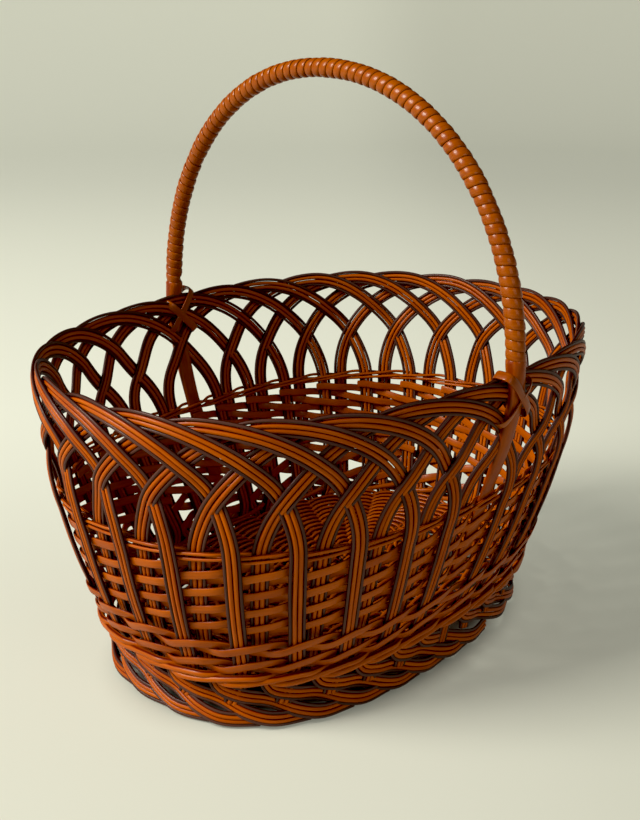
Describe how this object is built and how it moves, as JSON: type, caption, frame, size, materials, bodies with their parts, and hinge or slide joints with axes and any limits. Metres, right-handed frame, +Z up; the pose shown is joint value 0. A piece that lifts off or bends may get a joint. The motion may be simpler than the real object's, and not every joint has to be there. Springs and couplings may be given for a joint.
{
  "type": "wicker basket",
  "caption": "Oval woven cane basket with an openwork arched border, twisted foot and fixed wrapped hoop handle.",
  "frame": {"origin": "middle of the footprint, on the floor", "axes": "+X along the basket's long axis, +Y along its short axis, in the plane of the handle, +Z up"},
  "size_m": [0.4254, 0.3374, 0.4125],
  "materials": {
    "stake_rods": "varnished cane rods, gloss",
    "flat_cane": "varnished flat cane, gloss",
    "handle_cane": "varnished flat cane, gloss"
  },
  "bodies": {
    "root": {"stake_01": "stake_rods", "stake_02": "stake_rods", "stake_03": "stake_rods", "stake_04": "stake_rods", "stake_05": "stake_rods", "stake_06": "stake_rods", "stake_07": "stake_rods", "stake_08": "stake_rods", "stake_09": "stake_rods", "stake_10": "stake_rods", "stake_11": "stake_rods", "stake_12": "stake_rods", "stake_13": "stake_rods", "stake_14": "stake_rods", "stake_15": "stake_rods", "stake_16": "stake_rods", "stake_17": "stake_rods", "stake_18": "stake_rods", "stake_19": "stake_rods", "stake_20": "stake_rods", "stake_21": "stake_rods", "stake_22": "stake_rods", "stake_23": "stake_rods", "stake_24": "stake_rods", "stake_25": "stake_rods", "stake_26": "stake_rods", "stake_27": "stake_rods", "stake_28": "stake_rods", "side_bands_01": "flat_cane", "side_bands_02": "flat_cane", "side_bands_03": "flat_cane", "side_bands_04": "flat_cane", "side_bands_05": "flat_cane", "side_bands_06": "flat_cane", "side_bands_07": "flat_cane", "side_bands_08": "flat_cane", "side_bands_09": "flat_cane", "side_bands_10": "flat_cane", "side_bands_11": "flat_cane", "side_bands_12": "flat_cane", "side_bands_13": "flat_cane", "side_bands_14": "flat_cane", "side_bands_15": "flat_cane", "top_twine": "flat_cane", "upper_wale_1": "flat_cane", "upper_wale_2": "flat_cane", "middle_wale_1": "flat_cane", "middle_wale_2": "flat_cane", "foot_tie": "flat_cane", "base_spokes": "stake_rods", "base_rounds": "flat_cane", "handle_rod": "stake_rods", "handle_wrap": "handle_cane", "handle_leg_left": "handle_cane", "handle_leg_right": "handle_cane", "lashing_left": "handle_cane", "lashing_right": "handle_cane"}
  },
  "joints": []
}
